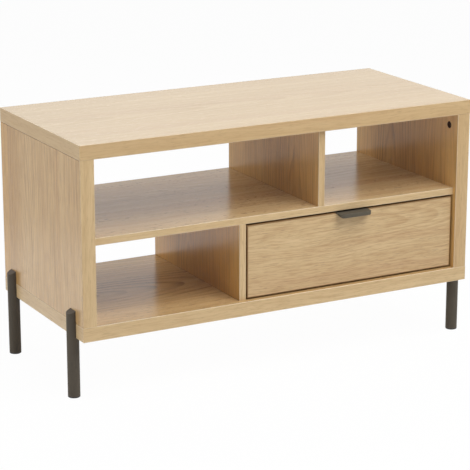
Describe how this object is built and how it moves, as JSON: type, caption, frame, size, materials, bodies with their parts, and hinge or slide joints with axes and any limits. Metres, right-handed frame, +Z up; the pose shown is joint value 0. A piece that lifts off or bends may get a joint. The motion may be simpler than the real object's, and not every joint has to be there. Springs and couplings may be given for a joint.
{
  "type": "tv stand",
  "caption": "Low tv stand of pale oak board with open through bays, a drawer with an edge pull, and dark round legs notched around the lower corners.",
  "frame": {"origin": "on the floor under the middle of the carcass", "axes": "+X to the right seen from the front, +Y to the rear, +Z up; the drawer opens along -Y"},
  "size_m": [0.928, 0.408, 0.52],
  "materials": {
    "oak_board": "oak foil on chipboard, satin",
    "oak_edge_band": "plastic edge band printed as oak",
    "drawer_board": "foil on chipboard, satin",
    "fibreboard": "printed thin fibreboard",
    "beech": "raw beech",
    "dark_metal": "dark grey powder coat",
    "cam_metal": "dark brown plated die casting",
    "zinc_steel": "bright zinc plate",
    "black_plastic": "moulded plastic",
    "white_nylon": "moulded nylon"
  },
  "bodies": {
    "carcass": {"bottom_panel": "oak_board", "bottom_panel_edging": "oak_edge_band", "carcass_cam_bolts": "zinc_steel", "carcass_cams": "cam_metal", "carcass_dowels": "beech", "carcass_screws": "zinc_steel", "drawer_bay_back": "fibreboard", "front_left_leg": "dark_metal", "front_left_leg_glide": "black_plastic", "front_left_leg_plate": "dark_metal", "front_right_leg": "dark_metal", "front_right_leg_glide": "black_plastic", "front_right_leg_plate": "dark_metal", "left_rail": "zinc_steel", "left_side_edging": "oak_edge_band", "left_side_panel": "oak_board", "leg_screws": "zinc_steel", "lower_divider": "oak_board", "lower_divider_edging": "oak_edge_band", "middle_shelf": "oak_board", "middle_shelf_edging": "oak_edge_band", "rail_rivets": "zinc_steel", "rail_screws": "zinc_steel", "rear_left_leg": "dark_metal", "rear_left_leg_glide": "black_plastic", "rear_left_leg_plate": "dark_metal", "rear_right_leg": "dark_metal", "rear_right_leg_glide": "black_plastic", "rear_right_leg_plate": "dark_metal", "right_rail": "zinc_steel", "right_side_edging": "oak_edge_band", "right_side_panel": "oak_board", "top_panel": "oak_board", "top_panel_edging": "oak_edge_band", "upper_divider": "oak_board", "upper_divider_edging": "oak_edge_band"},
    "drawer": {"drawer_back": "drawer_board", "drawer_back_screws": "zinc_steel", "drawer_bottom": "fibreboard", "drawer_cam_bolts": "zinc_steel", "drawer_cams": "cam_metal", "drawer_dowels": "beech", "drawer_front": "oak_board", "drawer_front_edging": "oak_edge_band", "drawer_handle": "dark_metal", "drawer_left_side": "drawer_board", "drawer_right_side": "drawer_board", "handle_screws": "zinc_steel", "left_drawer_profile": "zinc_steel", "right_drawer_profile": "zinc_steel", "profile_screws": "zinc_steel", "profile_rivets": "zinc_steel"},
    "left_drawer_roller": {"left_drawer_roller": "white_nylon"},
    "left_rail_roller": {"left_rail_roller": "white_nylon"},
    "right_drawer_roller": {"right_drawer_roller": "white_nylon"},
    "right_rail_roller": {"right_rail_roller": "white_nylon"}
  },
  "joints": [
    {"name": "drawer_slide", "type": "slide", "parent": "carcass", "child": "drawer", "axis": [0, -1, 0], "range_m": [0, 0.27]},
    {"name": "left_drawer_roller_spin", "type": "hinge", "parent": "drawer", "child": "left_drawer_roller", "pos_m": [-0.0748, 0.151, 0.1845], "axis": [1, 0, 0], "range_deg": [-10, 1420]},
    {"name": "left_rail_roller_spin", "type": "hinge", "parent": "carcass", "child": "left_rail_roller", "pos_m": [-0.0767, -0.154, 0.1845], "axis": [1, 0, 0], "range_deg": [-10, 1420]},
    {"name": "right_drawer_roller_spin", "type": "hinge", "parent": "drawer", "child": "right_drawer_roller", "pos_m": [0.4128, 0.151, 0.1845], "axis": [1, 0, 0], "range_deg": [-10, 1420]},
    {"name": "right_rail_roller_spin", "type": "hinge", "parent": "carcass", "child": "right_rail_roller", "pos_m": [0.4147, -0.154, 0.1845], "axis": [1, 0, 0], "range_deg": [-10, 1420]}
  ],
  "couplings": [
    {"joint": "left_drawer_roller_spin", "follows": "drawer_slide", "rad_per_m": 90.909},
    {"joint": "left_rail_roller_spin", "follows": "drawer_slide", "rad_per_m": 90.909},
    {"joint": "right_drawer_roller_spin", "follows": "drawer_slide", "rad_per_m": 90.909},
    {"joint": "right_rail_roller_spin", "follows": "drawer_slide", "rad_per_m": 90.909}
  ]
}
